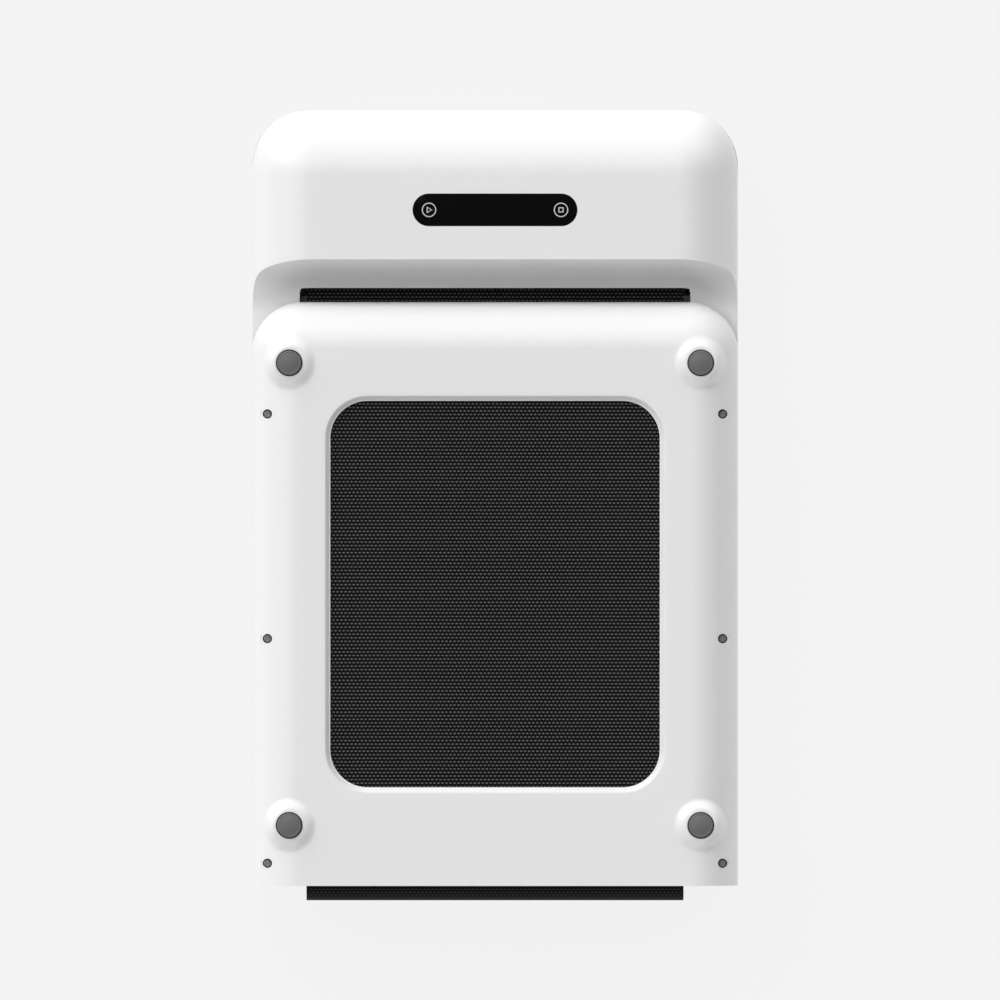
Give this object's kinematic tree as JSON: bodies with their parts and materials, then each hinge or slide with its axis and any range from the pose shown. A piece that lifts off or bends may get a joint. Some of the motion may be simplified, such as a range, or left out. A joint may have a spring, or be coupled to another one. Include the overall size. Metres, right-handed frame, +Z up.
{
  "type": "folding walking treadmill",
  "caption": "Walking treadmill folded in half at its middle, running belt round both halves, motor head with display, rubber feet under each half.",
  "frame": {"origin": "on the floor under the middle of the folded machine's box", "axes": "+Z up, +Y from the fold towards the motor head, +X to the right of someone facing +Y; the front half lies on the floor walking side up and the rear half lies folded on top of it, underside up"},
  "size_m": [0.516, 0.839, 0.137],
  "materials": {
    "white_shell": "moulded ABS, gloss",
    "black_lens": "smoked acrylic, polished",
    "grey_rubber": "moulded rubber, matt",
    "belt": "PVC running belt, diamond embossed",
    "drive_rubber": "ribbed rubber",
    "tyre": "soft polyurethane",
    "black_plastic": "moulded nylon",
    "dark_steel": "black powder coat",
    "zinc_steel": "zinc plated",
    "bright_steel": "ground",
    "screw_black": "black oxide",
    "aluminium": "extruded",
    "cast_iron": "machined",
    "board_green": "glass-fibre board, solder mask",
    "components": "moulded epoxy and cans",
    "deck_board": "waxed fibreboard"
  },
  "bodies": {
    "front_half": {"front_bottom_cover": "white_shell", "head_cover": "white_shell", "front_left_foot_rail": "white_shell", "front_right_foot_rail": "white_shell", "front_feet": "grey_rubber", "front_cover_screws": "screw_black", "display_window": "black_lens", "display_board": "board_green", "front_frame": "dark_steel", "front_deck": "deck_board", "front_deck_screws": "zinc_steel", "front_deck_isolators": "grey_rubber", "left_hinge_clevis": "zinc_steel", "right_hinge_clevis": "zinc_steel", "hinge_pins": "bright_steel", "running_belt_front": "belt", "running_belt_inner_fold": "belt", "running_belt_outer_fold": "belt", "front_roller_shaft": "bright_steel", "drive_belt": "drive_rubber", "motor_housing": "dark_steel", "motor_bracket": "dark_steel", "motor_bolts": "zinc_steel", "controller_board": "board_green", "controller_heatsink": "aluminium", "controller_components": "components", "mains_panel": "black_plastic", "mains_inlet": "black_plastic", "switch_frame": "black_plastic", "wheel_axles": "bright_steel"},
    "rear_half": {"rear_bottom_cover": "white_shell", "rear_left_foot_rail": "white_shell", "rear_right_foot_rail": "white_shell", "rear_tail_cap": "white_shell", "rear_feet": "grey_rubber", "rear_cover_screws": "screw_black", "rear_frame": "dark_steel", "rear_deck": "deck_board", "rear_deck_screws": "zinc_steel", "rear_deck_isolators": "grey_rubber", "left_hinge_lug": "zinc_steel", "right_hinge_lug": "zinc_steel", "running_belt_rear": "belt", "rear_roller_shaft": "bright_steel", "tension_bolts": "zinc_steel"},
    "front_roller": {"front_roller_tube": "zinc_steel", "front_roller_bearings": "bright_steel", "front_roller_pulley": "aluminium"},
    "rotor": {"motor_rotor": "bright_steel", "motor_flywheel": "cast_iron", "motor_pulley": "aluminium"},
    "rear_roller": {"rear_roller_tube": "zinc_steel", "rear_roller_bearings": "bright_steel"},
    "left_wheel": {"left_wheel_hub": "black_plastic", "left_wheel_tyre": "tyre"},
    "right_wheel": {"right_wheel_hub": "black_plastic", "right_wheel_tyre": "tyre"},
    "rocker": {"switch_rocker": "black_plastic"}
  },
  "joints": [
    {"name": "fold", "type": "hinge", "parent": "front_half", "child": "rear_half", "pos_m": [0, -0.3985, 0.0685], "axis": [1, 0, 0], "range_deg": [0, 180], "deforming": ["running_belt_inner_fold", "running_belt_outer_fold"]},
    {"name": "front_roller_spin", "type": "hinge", "parent": "front_half", "child": "front_roller", "pos_m": [0, 0.25, 0.0389], "axis": [1, 0, 0], "continuous": true},
    {"name": "motor_spin", "type": "hinge", "parent": "front_half", "child": "rotor", "pos_m": [0, 0.32, 0.07], "axis": [1, 0, 0], "continuous": true},
    {"name": "rear_roller_spin", "type": "hinge", "parent": "rear_half", "child": "rear_roller", "pos_m": [0, 0.1795, 0.0981], "axis": [1, 0, 0], "continuous": true},
    {"name": "left_wheel_spin", "type": "hinge", "parent": "front_half", "child": "left_wheel", "pos_m": [-0.165, 0.382, 0.025], "axis": [1, 0, 0], "continuous": true},
    {"name": "right_wheel_spin", "type": "hinge", "parent": "front_half", "child": "right_wheel", "pos_m": [0.165, 0.382, 0.025], "axis": [1, 0, 0], "continuous": true},
    {"name": "mains_switch", "type": "hinge", "parent": "front_half", "child": "rocker", "pos_m": [0.122, 0.399, 0.042], "axis": [1, 0, 0], "range_deg": [0, 16]}
  ],
  "couplings": [
    {"joint": "motor_spin", "follows": "front_roller_spin", "ratio": 2.4444},
    {"joint": "rear_roller_spin", "follows": "front_roller_spin", "ratio": 1}
  ]
}
